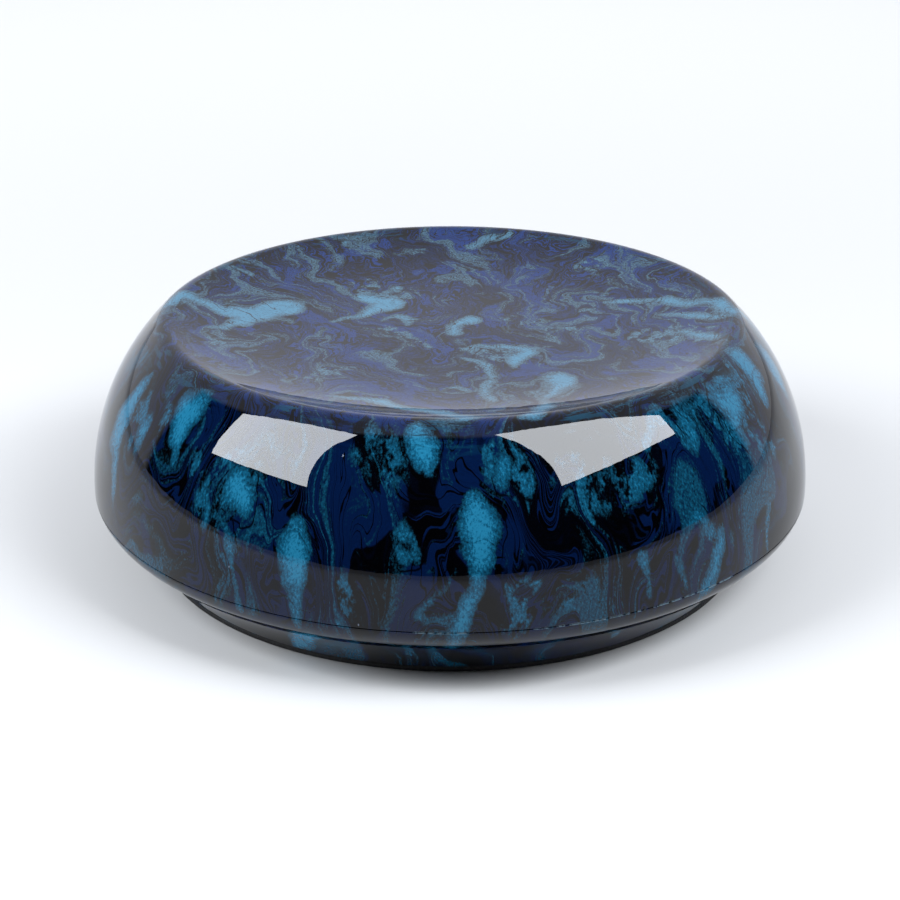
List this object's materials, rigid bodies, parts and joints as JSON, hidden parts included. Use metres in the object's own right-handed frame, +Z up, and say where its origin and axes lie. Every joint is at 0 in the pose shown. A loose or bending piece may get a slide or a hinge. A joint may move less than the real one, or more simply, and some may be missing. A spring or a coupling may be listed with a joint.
{
  "type": "dished round paperweight",
  "caption": "Round desk paperweight with a shallow dish top: two moulded shells around a cast weight, on a non-slip pad, with a glossy marbled finish.",
  "frame": {"origin": "centre of the underside, on the surface that the pad rests on", "axes": "+Z up, along the axis that the round body is turned about; X and Y lie in the resting plane, and screws stand at 45 degrees to them"},
  "size_m": [0.1, 0.1, 0.0335],
  "materials": {
    "marbled_shell": "clear gloss over a marbled black, navy and teal film",
    "ballast_iron": "as cast, edges turned",
    "foam": "closed-cell foam",
    "screw_steel": "bright zinc",
    "adhesive": "double-sided film",
    "pad_rubber": "fine raised grip texture"
  },
  "bodies": {
    "root": {"upper_shell": "marbled_shell", "lower_shell": "marbled_shell", "ballast_disc": "ballast_iron", "foam_spacer": "foam", "shell_screws": "screw_steel", "pad_adhesive": "adhesive", "non_slip_pad": "pad_rubber"}
  },
  "joints": []
}
